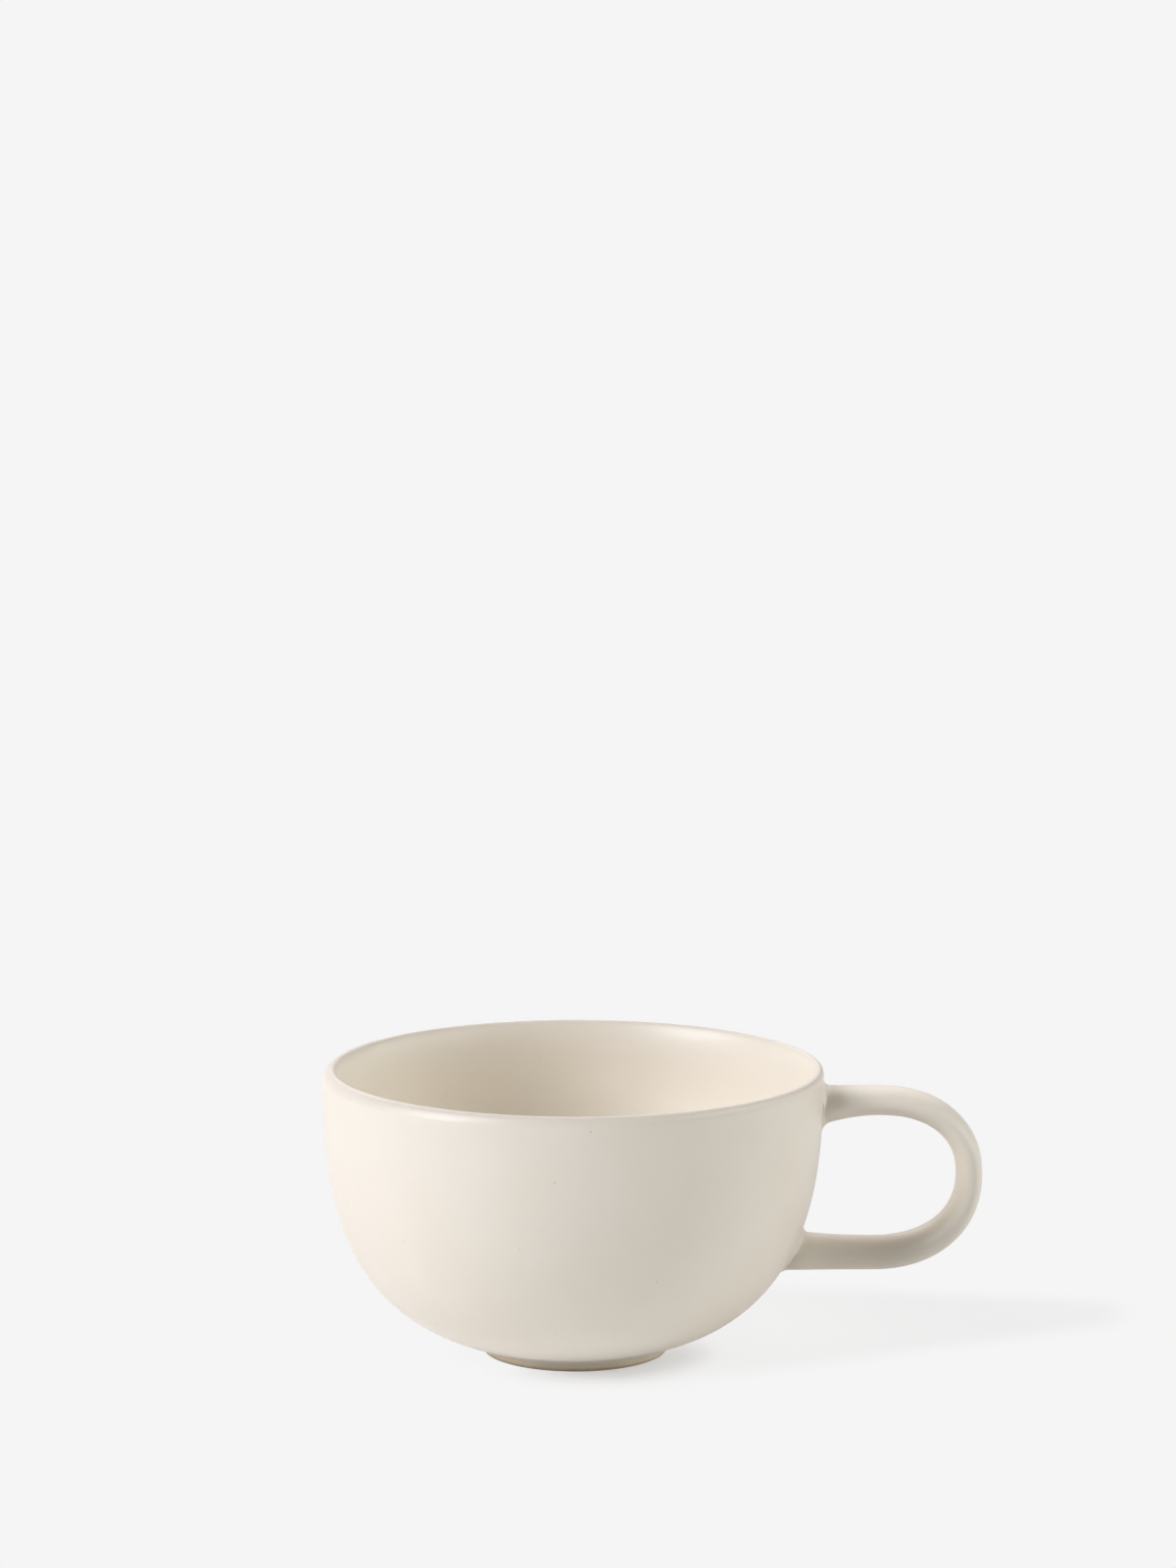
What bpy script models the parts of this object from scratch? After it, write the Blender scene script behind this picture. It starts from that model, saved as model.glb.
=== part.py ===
# Stoneware teacup with a loop handle, in metres, +Z up, standing on z = 0.
# The handle points along +X, and the origin lies under the middle of the whole outline.

import math
from collections import namedtuple

import bmesh
import bpy
from mathutils import Vector

for leftover in list(bpy.data.objects):
    bpy.data.objects.remove(leftover, do_unlink=True)


# Bowl
RIM_RADIUS = 0.0550
CUP_HEIGHT = 0.0636
LIP_THICKNESS = 0.0032
BASE_THICKNESS = 0.0046
BELLY_SQUARENESS = 2.8
BELLY_CLOSING_DROP = 0.0019

# Foot
FOOT_HEIGHT = 0.0026
FOOT_REST_RADIUS = 0.0196
FOOT_LAND_WIDTH = 0.0026
FOOT_EDGE_ROUND = 0.0004
FOOT_FLARE = 0.0013

# Handle: two level arms, joined by a rounded bend
UPPER_ARM_DROP = 0.0077
LOWER_ARM_HEIGHT = 0.0218
UPPER_ARM_LENGTH = 0.0124
UPPER_BEND_LENGTH = 0.0199
LOWER_BEND_LENGTH = 0.0214
BEND_APEX_RISE = 0.0007
BEND_SQUARENESS = 2.2
STRAP_WIDTH = 0.0124
STRAP_SQUARENESS = 2.4
UPPER_ARM_THICKNESS = 0.0062
BEND_THICKNESS = 0.0058
LOWER_ARM_THICKNESS = 0.0070
UPPER_ROOT_FLARE = 0.0014

# Slip squeezed out of the handle's two joints
UPPER_FILLET_SIZE = 0.0017
LOWER_FILLET_SIZE = 0.0019
FILLET_EDGE = 0.0003

# Film between pieces that are stuck together
JOINT_GAP = 0.0003

# Surfaces
CREAM_GLAZE = (0.76, 0.70, 0.60)
GLAZE_ROUGHNESS = 0.45
BARE_CLAY = (0.52, 0.43, 0.33)
CLAY_ROUGHNESS = 0.85

# Fineness of the meshes
TURNED_STEPS = 64
PROFILE_STEPS = 18
LIP_STEPS = 8
EDGE_STEPS = 3
BEND_STEPS = 26
ARM_STEPS = 5
STRAP_POINTS = 24
FILLET_STEPS = 4
SHARP_ANGLE = math.radians(40)
MERGE_DISTANCE = 0.00001

# Levels and reaches that follow from the sizes above
bowl_seat = FOOT_HEIGHT + JOINT_GAP
belly_depth = CUP_HEIGHT - bowl_seat + BELLY_CLOSING_DROP
upper_arm_level = CUP_HEIGHT - UPPER_ARM_DROP
upper_bend_start = RIM_RADIUS + UPPER_ARM_LENGTH
bend_apex_x = upper_bend_start + UPPER_BEND_LENGTH
lower_bend_start = bend_apex_x - LOWER_BEND_LENGTH
bend_apex_level = (upper_arm_level + LOWER_ARM_HEIGHT) / 2 + BEND_APEX_RISE
handle_reach = bend_apex_x + BEND_THICKNESS / 2
cup_axis_x = (RIM_RADIUS - handle_reach) / 2

Arm = namedtuple("Arm", "level thickness root_flare outward")
upper_arm = Arm(upper_arm_level, UPPER_ARM_THICKNESS, UPPER_ROOT_FLARE, 1)
lower_arm = Arm(LOWER_ARM_HEIGHT, LOWER_ARM_THICKNESS, 0, -1)


# A superellipse's cosine and sine: 2 is an ellipse, and more is squarer.
def squared_turn(angle, squareness):
    across = math.copysign(abs(math.cos(angle)) ** (2 / squareness), math.cos(angle))
    along = math.copysign(abs(math.sin(angle)) ** (2 / squareness), math.sin(angle))
    return across, along


# Outer radius of the bowl at a height above the table. The belly's curve is a quarter of a
# superellipse, which would close a little below the flat base that cuts it off.
def belly_radius(height):
    share = (CUP_HEIGHT - height) / belly_depth
    return RIM_RADIUS * (1 - share**BELLY_SQUARENESS) ** (1 / BELLY_SQUARENESS)


# Distance along +X from the cup's axis to the film on the bowl's outside.
def joint_x(y, height):
    return math.sqrt((belly_radius(height) + JOINT_GAP) ** 2 - y**2)


# A plain surface, its colour in linear light.
def principled(name, colour, roughness):
    material = bpy.data.materials.new(name)
    material.use_nodes = True
    shader = material.node_tree.nodes["Principled BSDF"]
    shader.inputs["Base Color"].default_value = (*colour, 1)
    shader.inputs["Roughness"].default_value = roughness
    shader.inputs["Metallic"].default_value = 0
    return material


# Hangs a piece on the cup's own frame, which stands on the cup's axis.
def placed(name, mesh, place, material):
    piece = bpy.data.objects.new(name, mesh)
    bpy.context.scene.collection.objects.link(piece)
    piece.parent = cup_frame
    piece.location = place
    mesh.materials.append(material)
    mesh.shade_smooth()
    mesh.set_sharp_from_angle(angle=SHARP_ANGLE)
    return piece


# Turns an outline of (radius, height) points about the piece's own Z axis.
def turned(name, outline, closed, place, material):
    mesh = bpy.data.meshes.new(name)
    edges = [(i, i + 1) for i in range(len(outline) - 1)]
    if closed:
        edges.append((len(outline) - 1, 0))
    mesh.from_pydata([(radius, 0, height) for radius, height in outline], edges, [])
    piece = placed(name, mesh, place, material)
    screw = piece.modifiers.new("Turn", "SCREW")
    screw.axis = "Z"
    screw.steps = TURNED_STEPS
    screw.render_steps = TURNED_STEPS
    screw.use_merge_vertices = True
    screw.merge_threshold = MERGE_DISTANCE
    screw.use_smooth_shade = True
    return piece


# Skins rings of points, all in the cup's frame. With a centre at each end the loft is capped,
# and without one its last ring meets its first.
def lofted(name, rings, ends, place, material):
    shape = bmesh.new()
    loops = [[shape.verts.new(Vector(point) - Vector(place)) for point in ring] for ring in rings]
    pairs = list(zip(loops, loops[1:]))
    if not ends:
        pairs.append((loops[-1], loops[0]))
    for near, far in pairs:
        for i in range(len(near)):
            j = (i + 1) % len(near)
            shape.faces.new((near[i], near[j], far[j], far[i]))
    for centre, loop in zip(ends, (loops[0], loops[-1])):
        hub = shape.verts.new(Vector(centre) - Vector(place))
        for i in range(len(loop)):
            shape.faces.new((hub, loop[i], loop[(i + 1) % len(loop)]))
    bmesh.ops.recalc_face_normals(shape, faces=shape.faces)
    mesh = bpy.data.meshes.new(name)
    shape.to_mesh(mesh)
    shape.free()
    return placed(name, mesh, place, material)


# The bowl's outline from the middle of its floor, up inside, over the lip and down outside.
def bowl_outline():
    lip_radius = LIP_THICKNESS / 2
    lip_level = CUP_HEIGHT - lip_radius
    well_depth = lip_level - bowl_seat - BASE_THICKNESS
    well_radius = RIM_RADIUS - LIP_THICKNESS
    outline = []
    for i in range(PROFILE_STEPS):
        across, down = squared_turn(math.pi / 2 * (1 - i / PROFILE_STEPS), BELLY_SQUARENESS)
        outline.append((well_radius * across, lip_level - well_depth * down))
    for i in range(LIP_STEPS + 1):
        angle = math.pi * (1 - i / LIP_STEPS)
        out = lip_radius * (1 + math.cos(angle))
        outline.append((well_radius + out, lip_level + lip_radius * math.sin(angle)))
    base_share = (CUP_HEIGHT - bowl_seat) / belly_depth
    base_angle = math.asin(base_share ** (BELLY_SQUARENESS / 2))
    for i in range(1, PROFILE_STEPS + 1):
        across, down = squared_turn(base_angle * i / PROFILE_STEPS, BELLY_SQUARENESS)
        outline.append((RIM_RADIUS * across, CUP_HEIGHT - belly_depth * down))
    outline.append((0, bowl_seat))
    return [(radius, height - bowl_seat) for radius, height in outline]


# The foot's section: a flat land with rounded edges, and sides that flare up to the bowl.
def foot_outline():
    land_inside = FOOT_REST_RADIUS - FOOT_LAND_WIDTH
    outline = [(FOOT_REST_RADIUS + FOOT_EDGE_ROUND + FOOT_FLARE, FOOT_HEIGHT)]
    for i in range(EDGE_STEPS + 1):
        angle = math.pi / 2 * i / EDGE_STEPS
        out = FOOT_EDGE_ROUND * math.cos(angle)
        outline.append((FOOT_REST_RADIUS + out, FOOT_EDGE_ROUND * (1 - math.sin(angle))))
    for i in range(EDGE_STEPS + 1):
        angle = math.pi / 2 * i / EDGE_STEPS
        out = FOOT_EDGE_ROUND * math.sin(angle)
        outline.append((land_inside - out, FOOT_EDGE_ROUND * (1 - math.cos(angle))))
    outline.append((land_inside - FOOT_EDGE_ROUND - FOOT_FLARE, FOOT_HEIGHT))
    return outline


# The strap's section as (side, lift) points, grown outwards on all sides.
def strap_section(thickness, grown=0):
    section = []
    for i in range(STRAP_POINTS):
        side, lift = squared_turn(2 * math.pi * i / STRAP_POINTS, STRAP_SQUARENESS)
        section.append((side * (STRAP_WIDTH / 2 + grown), lift * (thickness / 2 + grown)))
    return section


# An arm's section as (side, height) points. Its root is deepened from below, less and less
# from the rim's radius to the bend.
def arm_section(arm, x, grown=0):
    left = min(max(1 - (x - RIM_RADIUS) / UPPER_ARM_LENGTH, 0), 1)
    flare = arm.root_flare * left**2
    middle = arm.level - flare / 2
    section = strap_section(arm.thickness + flare, grown)
    return [(side, middle + arm.outward * lift) for side, lift in section]


# An arm's end lies on the film on the bowl, so each of its points finds its own distance out.
def root_centre(arm):
    middle = arm.level - arm.root_flare / 2
    return joint_x(0, middle), 0, middle


def root_ring(arm, share):
    middle = root_centre(arm)[2]
    points = [(y * share, middle + (z - middle) * share) for y, z in arm_section(arm, RIM_RADIUS)]
    return [(joint_x(y, z), y, z) for y, z in points]


# Upright rings along an arm, from just clear of its end to the start of the bend.
def arm_rings(arm, bend_start):
    first = max(x for x, y, z in root_ring(arm, 1))
    rings = []
    for i in range(1, ARM_STEPS + 1):
        x = first + (bend_start - first) * i / (ARM_STEPS + 1)
        rings.append([(x, y, z) for y, z in arm_section(arm, x)])
    return rings


# Rings square to the bend, from the upper arm round to the lower one.
def bend_rings():
    steepness = BEND_SQUARENESS - 1
    rings = []
    for i in range(BEND_STEPS + 1):
        angle = math.pi * (0.5 - i / BEND_STEPS)
        arm = upper_arm if angle >= 0 else lower_arm
        start = upper_bend_start if angle >= 0 else lower_bend_start
        reach = bend_apex_x - start
        rise = abs(arm.level - bend_apex_level)
        across, up = squared_turn(angle, BEND_SQUARENESS)
        middle = Vector((start + reach * across, 0, bend_apex_level + rise * up))
        outward = Vector((across**steepness / reach, 0, arm.outward * abs(up) ** steepness / rise))
        outward.normalize()
        thickness = BEND_THICKNESS + (arm.thickness - BEND_THICKNESS) * math.sin(angle) ** 2
        section = strap_section(thickness)
        rings.append([middle + outward * lift + Vector((0, side, 0)) for side, lift in section])
    return rings


def handle_rings():
    rings = [root_ring(upper_arm, share) for share in (1 / 3, 2 / 3, 1)]
    rings += arm_rings(upper_arm, upper_bend_start)
    rings += bend_rings()
    rings += reversed(arm_rings(lower_arm, lower_bend_start))
    rings += [root_ring(lower_arm, share) for share in (1, 2 / 3, 1 / 3)]
    return rings


# The slip's section, as (out from the strap, up from the bowl) points: a corner, and a hollow
# quarter round between its two thin edges.
def fillet_section(size):
    hollow = size - FILLET_EDGE
    section = [(0, 0), (0, size)]
    for i in range(FILLET_STEPS + 1):
        angle = math.pi / 2 * i / FILLET_STEPS
        section.append((size - hollow * math.cos(angle), size - hollow * math.sin(angle)))
    section.append((size, 0))
    return section


# Each ring runs round the strap, at one point of the slip's section.
def fillet_rings(arm, size):
    wall_x = root_centre(arm)[0]
    rings = []
    for out, rise in fillet_section(size):
        around = arm_section(arm, wall_x + rise, JOINT_GAP + out)
        rings.append([(joint_x(y, z) + rise, y, z) for y, z in around])
    return rings


cup_frame = bpy.data.objects.new("teacup", None)
bpy.context.scene.collection.objects.link(cup_frame)
cup_frame.location = (cup_axis_x, 0, 0)

turned(
    "foot_ring",
    foot_outline(),
    True,
    (0, 0, 0),
    principled("foot_clay", BARE_CLAY, CLAY_ROUGHNESS),
)
turned(
    "cup_bowl",
    bowl_outline(),
    False,
    (0, 0, bowl_seat),
    principled("bowl_glaze", CREAM_GLAZE, GLAZE_ROUGHNESS),
)
lofted(
    "handle",
    handle_rings(),
    (root_centre(upper_arm), root_centre(lower_arm)),
    root_centre(upper_arm),
    principled("handle_glaze", CREAM_GLAZE, GLAZE_ROUGHNESS),
)
lofted(
    "upper_slip_fillet",
    fillet_rings(upper_arm, UPPER_FILLET_SIZE),
    (),
    root_centre(upper_arm),
    principled("upper_fillet_glaze", CREAM_GLAZE, GLAZE_ROUGHNESS),
)
lofted(
    "lower_slip_fillet",
    fillet_rings(lower_arm, LOWER_FILLET_SIZE),
    (),
    root_centre(lower_arm),
    principled("lower_fillet_glaze", CREAM_GLAZE, GLAZE_ROUGHNESS),
)
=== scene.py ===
# Cream stoneware teacup: its finished surfaces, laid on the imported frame.
# Metres, +Z up, the handle along +X.
import math

import bmesh
import bpy
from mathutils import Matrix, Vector


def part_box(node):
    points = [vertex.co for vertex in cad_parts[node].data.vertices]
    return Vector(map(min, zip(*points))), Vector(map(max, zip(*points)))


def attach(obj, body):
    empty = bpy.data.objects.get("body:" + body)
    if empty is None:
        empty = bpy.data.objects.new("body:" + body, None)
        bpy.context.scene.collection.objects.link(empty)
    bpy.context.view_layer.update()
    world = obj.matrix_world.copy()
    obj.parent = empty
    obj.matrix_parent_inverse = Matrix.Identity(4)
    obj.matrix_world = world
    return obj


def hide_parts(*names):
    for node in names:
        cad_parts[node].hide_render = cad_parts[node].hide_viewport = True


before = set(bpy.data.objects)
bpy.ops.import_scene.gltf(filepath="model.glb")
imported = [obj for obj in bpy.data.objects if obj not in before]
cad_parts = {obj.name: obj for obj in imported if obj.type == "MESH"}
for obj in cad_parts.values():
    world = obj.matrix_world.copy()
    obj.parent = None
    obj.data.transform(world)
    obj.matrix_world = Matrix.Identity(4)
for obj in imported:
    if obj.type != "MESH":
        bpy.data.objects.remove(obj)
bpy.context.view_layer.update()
print("frame loaded:", ", ".join(sorted(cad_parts)))

# sizes that the frame already holds
bowlLow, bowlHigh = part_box("cup_bowl")
axisX = (bowlLow.x + bowlHigh.x) / 2
rimRadius = (bowlHigh.y - bowlLow.y) / 2
cupHeight = bowlHigh.z
bowlSeat = bowlLow.z
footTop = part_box("foot_ring")[1].z
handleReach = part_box("handle")[1].x - axisX


# cosine and sine of a superellipse: 2 is round, more is squarer
def squareTurn(angle, squareness):
    across = math.copysign(abs(math.cos(angle)) ** (2 / squareness), math.cos(angle))
    along = math.copysign(abs(math.sin(angle)) ** (2 / squareness), math.sin(angle))
    return across, along


# node helpers, for shaders and for geometry
def addNode(tree, kind, **settings):
    node = tree.nodes.new(kind)
    for name, value in settings.items():
        setattr(node, name, value)
    return node


# a socket is joined, a plain value is typed in
def feed(tree, socket, value):
    if isinstance(value, bpy.types.NodeSocket):
        tree.links.new(value, socket)
    else:
        socket.default_value = value


def maths(tree, operation, first, second=0.0, clamp=False):
    node = addNode(tree, "ShaderNodeMath", operation=operation, use_clamp=clamp)
    feed(tree, node.inputs[0], first)
    feed(tree, node.inputs[1], second)
    return node.outputs[0]


def mapped(tree, value, fromLow, fromHigh, toLow, toHigh, smooth=False):
    node = addNode(tree, "ShaderNodeMapRange")
    node.interpolation_type = "SMOOTHSTEP" if smooth else "LINEAR"
    feed(tree, node.inputs["Value"], value)
    feed(tree, node.inputs["From Min"], fromLow)
    feed(tree, node.inputs["From Max"], fromHigh)
    feed(tree, node.inputs["To Min"], toLow)
    feed(tree, node.inputs["To Max"], toHigh)
    return node.outputs["Result"]


# a Mix node has its sockets once for each kind of data, so the colour ones go by number
def mixedColour(tree, share, below, above):
    node = addNode(tree, "ShaderNodeMix", data_type="RGBA")
    feed(tree, node.inputs["Factor"], share)
    feed(tree, node.inputs[6], below)
    feed(tree, node.inputs[7], above)
    return node.outputs[2]


def parted(tree, vector):
    node = addNode(tree, "ShaderNodeSeparateXYZ")
    feed(tree, node.inputs[0], vector)
    return node.outputs


# mixes two shaders and shows the result
def showMixed(tree, outputKind, share, below, above):
    mix = addNode(tree, "ShaderNodeMixShader")
    feed(tree, mix.inputs[0], share)
    feed(tree, mix.inputs[1], below.outputs[0])
    feed(tree, mix.inputs[2], above.outputs[0])
    feed(tree, addNode(tree, outputKind).inputs["Surface"], mix.outputs[0])


def newSocket(tree, name, inOut, kind):
    tree.interface.new_socket(name, in_out=inOut, socket_type=kind)


# what the kiln leaves on clay and glaze alike: soft clouds, sparse iron specks, fine grain
fired = {
    "cloudDetail": 3.0,
    "cloudRoughness": 0.55,
    "cloudRange": (0.3, 0.7),  # the part of the noise that is spread over 0 to 1
    "speckLeast": 0.55,  # the smallest speck beside the largest
    "speckCore": 0.4,  # how much of a speck is fully dark
    "grainDetail": 2.0,
}
firedSizes = ("Cloud Size", "Speck Spacing", "Speck Size", "Speck Share", "Grain Size")


def addNoise(tree, place, size, detail):
    noise = addNode(tree, "ShaderNodeTexNoise")
    feed(tree, noise.inputs["Vector"], place)
    feed(tree, noise.inputs["Scale"], maths(tree, "DIVIDE", 1.0, size))
    noise.inputs["Detail"].default_value = detail
    return noise


def buildFiredField():
    tree = bpy.data.node_groups.new("firedField", "ShaderNodeTree")
    newSocket(tree, "Place", "INPUT", "NodeSocketVector")
    for name in firedSizes:
        newSocket(tree, name, "INPUT", "NodeSocketFloat")
    for name in ("Cloud", "Speck", "Grain"):
        newSocket(tree, name, "OUTPUT", "NodeSocketFloat")
    given = addNode(tree, "NodeGroupInput").outputs
    result = addNode(tree, "NodeGroupOutput").inputs

    cloud = addNoise(tree, given["Place"], given["Cloud Size"], fired["cloudDetail"])
    cloud.inputs["Roughness"].default_value = fired["cloudRoughness"]
    feed(tree, result["Cloud"], mapped(tree, cloud.outputs[0], *fired["cloudRange"], 0.0, 1.0))

    # one point to a cell: only a share of the cells is picked, and their sizes differ
    cells = addNode(tree, "ShaderNodeTexVoronoi", voronoi_dimensions="3D", feature="F1")
    feed(tree, cells.inputs["Vector"], given["Place"])
    feed(tree, cells.inputs["Scale"], maths(tree, "DIVIDE", 1.0, given["Speck Spacing"]))
    draw = addNode(tree, "ShaderNodeSeparateColor")
    feed(tree, draw.inputs["Color"], cells.outputs["Color"])
    picked = maths(tree, "LESS_THAN", draw.outputs["Red"], given["Speck Share"])
    reach = maths(tree, "DIVIDE", given["Speck Size"], given["Speck Spacing"])
    varied = mapped(tree, draw.outputs["Green"], 0, 1, fired["speckLeast"], 1.0)
    reach = maths(tree, "MULTIPLY", reach, varied)
    core = maths(tree, "MULTIPLY", reach, fired["speckCore"])
    dot = mapped(tree, cells.outputs["Distance"], core, reach, 1, 0, True)
    feed(tree, result["Speck"], maths(tree, "MULTIPLY", dot, picked))

    grain = addNoise(tree, given["Place"], given["Grain Size"], fired["grainDetail"])
    feed(tree, result["Grain"], grain.outputs[0])
    return tree


firedField = buildFiredField()


# a material with the fired field placed in it, ready for its own colours
def startFinish(name, values):
    material = bpy.data.materials.new(name)
    material.use_nodes = True
    tree = material.node_tree
    field = addNode(tree, "ShaderNodeGroup", node_tree=firedField)
    place = addNode(tree, "ShaderNodeTexCoord").outputs["Object"]
    feed(tree, field.inputs["Place"], place)
    for size in firedSizes:
        field.inputs[size].default_value = values[size]
    level = parted(tree, place)["Z"]
    return material, tree, field.outputs, level, tree.nodes["Principled BSDF"]


def addBump(tree, shader, height, depth):
    bump = addNode(tree, "ShaderNodeBump")
    bump.inputs["Strength"].default_value = 1.0
    bump.inputs["Distance"].default_value = depth
    feed(tree, bump.inputs["Height"], height)
    feed(tree, shader.inputs["Normal"], bump.outputs["Normal"])


creamGlaze = {
    "Cloud Size": 0.022,
    "Speck Spacing": 0.0036,
    "Speck Size": 0.00042,
    "Speck Share": 0.14,
    "Grain Size": 0.0011,
    "pale": (0.804, 0.744, 0.632, 1),
    "deep": (0.782, 0.719, 0.604, 1),
    "thin": (0.620, 0.550, 0.460, 1),  # where it runs off an edge; also painted shade beside the handle's joints and, in part, on the lip
    "thinShare": 0.50,
    "paintedBounce": (0.868, 0.803, 0.695, 1),  # painted bounce light: lighter glaze low on the belly and in the well
    "bounceFrom": 0.016,  # heights between which the painted bounce light grows towards the foot
    "bounceTo": 0.004,
    "speck": (0.440, 0.390, 0.330, 1),
    "speckShare": 0.34,
    "roughness": (0.40, 0.48),
    "coat": 0.17,
    "coatRoughness": 0.26,
    "bumpDepth": 0.000012,
}


def makeCreamGlaze():
    values = creamGlaze
    material, tree, field, level, shader = startFinish("creamGlaze", values)
    colour = mixedColour(tree, field["Cloud"], values["pale"], values["deep"])
    paintedLift = mapped(tree, level, values["bounceFrom"], values["bounceTo"], 0, 1, True)
    # above 0 the glaze runs thin, with painted shade beside the joints and partly on the lip; below 0
    # it is painted lighter, as painted bounce light
    edge = addNode(tree, "ShaderNodeAttribute", attribute_name="glazeThinAndPaintedLight").outputs["Fac"]
    paintedLift = maths(tree, "MAXIMUM", paintedLift, maths(tree, "MULTIPLY", edge, -1.0))
    colour = mixedColour(tree, paintedLift, colour, values["paintedBounce"])
    thin = maths(tree, "MULTIPLY", edge, values["thinShare"], True)
    colour = mixedColour(tree, thin, colour, values["thin"])
    specked = maths(tree, "MULTIPLY", field["Speck"], values["speckShare"])
    feed(tree, shader.inputs["Base Color"], mixedColour(tree, specked, colour, values["speck"]))
    feed(tree, shader.inputs["Roughness"], mapped(tree, field["Cloud"], 0, 1, *values["roughness"]))
    shader.inputs["Coat Weight"].default_value = values["coat"]
    shader.inputs["Coat Roughness"].default_value = values["coatRoughness"]
    pitted = maths(tree, "SUBTRACT", field["Grain"], field["Speck"])
    addBump(tree, shader, pitted, values["bumpDepth"])
    return material


footClay = {
    "Cloud Size": 0.009,
    "Speck Spacing": 0.0016,
    "Speck Size": 0.00032,
    "Speck Share": 0.30,
    "Grain Size": 0.0004,
    "pale": (0.880, 0.770, 0.600, 1),
    "deep": (0.810, 0.690, 0.520, 1),
    "speck": (0.420, 0.320, 0.225, 1),
    "speckShare": 0.55,
    "paintedContactShade": (0.500, 0.405, 0.290, 1),  # painted contact shade, darkest at the edge that the cup stands on
    "contactShadeTo": 0.0011,
    # lighter than the body's glaze: painted light lifting the shade under the belly
    "glaze": (0.862, 0.800, 0.680, 1),
    "glazeLine": 0.0019,  # height where the glaze was wiped off
    "glazeSoft": 0.0003,
    "glazeWander": 0.0005,
    "roughness": (0.82, 0.92),
    "glazeRoughness": 0.48,
    "bumpDepth": 0.00004,
}


def makeFootClay():
    values = footClay
    material, tree, field, level, shader = startFinish("footClay", values)
    colour = mixedColour(tree, field["Cloud"], values["pale"], values["deep"])
    specked = maths(tree, "MULTIPLY", field["Speck"], values["speckShare"])
    colour = mixedColour(tree, specked, colour, values["speck"])
    # painted contact shade: the clay darkens towards the standing edge
    paintedContactShade = mapped(tree, level, 0.0, values["contactShadeTo"], 1, 0, True)
    colour = mixedColour(tree, paintedContactShade, colour, values["paintedContactShade"])

    # the wiped edge of the glaze goes up and down with the clouds, about their middle
    wander = maths(tree, "SUBTRACT", field["Cloud"], 0.5)
    wander = maths(tree, "MULTIPLY", wander, values["glazeWander"])
    low = values["glazeLine"] - values["glazeSoft"] / 2
    high = low + values["glazeSoft"]
    glazed = mapped(tree, maths(tree, "ADD", level, wander), low, high, 0, 1, True)
    feed(tree, shader.inputs["Base Color"], mixedColour(tree, glazed, colour, values["glaze"]))
    rough = mapped(tree, field["Cloud"], 0, 1, *values["roughness"])
    rough = mapped(tree, glazed, 0, 1, rough, values["glazeRoughness"])
    feed(tree, shader.inputs["Roughness"], rough)
    pitted = maths(tree, "SUBTRACT", field["Grain"], field["Speck"])
    bare = maths(tree, "SUBTRACT", 1.0, glazed)
    addBump(tree, shader, maths(tree, "MULTIPLY", pitted, bare), values["bumpDepth"])
    return material


glazeMaterial = makeCreamGlaze()
clayMaterial = makeFootClay()
print("finishes made: cream glaze, foot clay")


weldDistance = 0.000002  # points nearer than this become one


# geometry trees start with their sockets: a count, the sizes and the finish
def startShapeTree(name, count, sizes):
    tree = bpy.data.node_groups.new(name, "GeometryNodeTree")
    newSocket(tree, "Geometry", "INPUT", "NodeSocketGeometry")
    newSocket(tree, count, "INPUT", "NodeSocketInt")
    for size in sizes:
        newSocket(tree, size, "INPUT", "NodeSocketFloat")
    newSocket(tree, "Finish", "INPUT", "NodeSocketMaterial")
    newSocket(tree, "Geometry", "OUTPUT", "NodeSocketGeometry")
    return tree, addNode(tree, "NodeGroupInput").outputs


# and they end welded, smooth, realised and with that finish
def endShapeTree(tree, given, geometry):
    welded = addNode(tree, "GeometryNodeMergeByDistance")
    welded.inputs["Distance"].default_value = weldDistance
    smooth = addNode(tree, "GeometryNodeSetShadeSmooth")
    real = addNode(tree, "GeometryNodeRealizeInstances")
    finish = addNode(tree, "GeometryNodeSetMaterial")
    feed(tree, finish.inputs["Material"], given["Finish"])
    for node in (welded, smooth, real, finish):
        feed(tree, node.inputs["Geometry"], geometry)
        geometry = node.outputs["Geometry"]
    feed(tree, addNode(tree, "NodeGroupOutput").inputs["Geometry"], geometry)


def captured(tree, geometry, kind, value):
    node = addNode(tree, "GeometryNodeCaptureAttribute")
    node.capture_items.new(kind, "kept")
    feed(tree, node.inputs["Geometry"], geometry)
    feed(tree, node.inputs["kept"], value)
    return node.outputs["Geometry"], node.outputs["kept"]


def named(tree, kind, name):
    node = addNode(tree, "GeometryNodeInputNamedAttribute", data_type=kind)
    node.inputs["Name"].default_value = name
    return node.outputs["Attribute"]


# a line of points, or a circle of radius 1, as a curve that keeps where its points were
def lineCurve(tree, mesh):
    line = addNode(tree, "GeometryNodeMeshToCurve")
    feed(tree, line.inputs["Mesh"], mesh)
    here = addNode(tree, "GeometryNodeInputPosition").outputs[0]
    return captured(tree, line.outputs["Curve"], "VECTOR", here)


def circleCurve(tree, count):
    circle = addNode(tree, "GeometryNodeCurvePrimitiveCircle")
    feed(tree, circle.inputs["Resolution"], count)
    circle.inputs["Radius"].default_value = 1.0
    here = addNode(tree, "GeometryNodeInputPosition").outputs[0]
    return captured(tree, circle.outputs["Curve"], "VECTOR", here)


def joinedUp(tree, x, y, z):
    node = addNode(tree, "ShaderNodeCombineXYZ")
    for i, value in enumerate((x, y, z)):
        feed(tree, node.inputs[i], value)
    return node.outputs[0]


def moved(tree, geometry, position):
    node = addNode(tree, "GeometryNodeSetPosition")
    feed(tree, node.inputs["Geometry"], geometry)
    feed(tree, node.inputs["Position"], position)
    return node.outputs["Geometry"]


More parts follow.
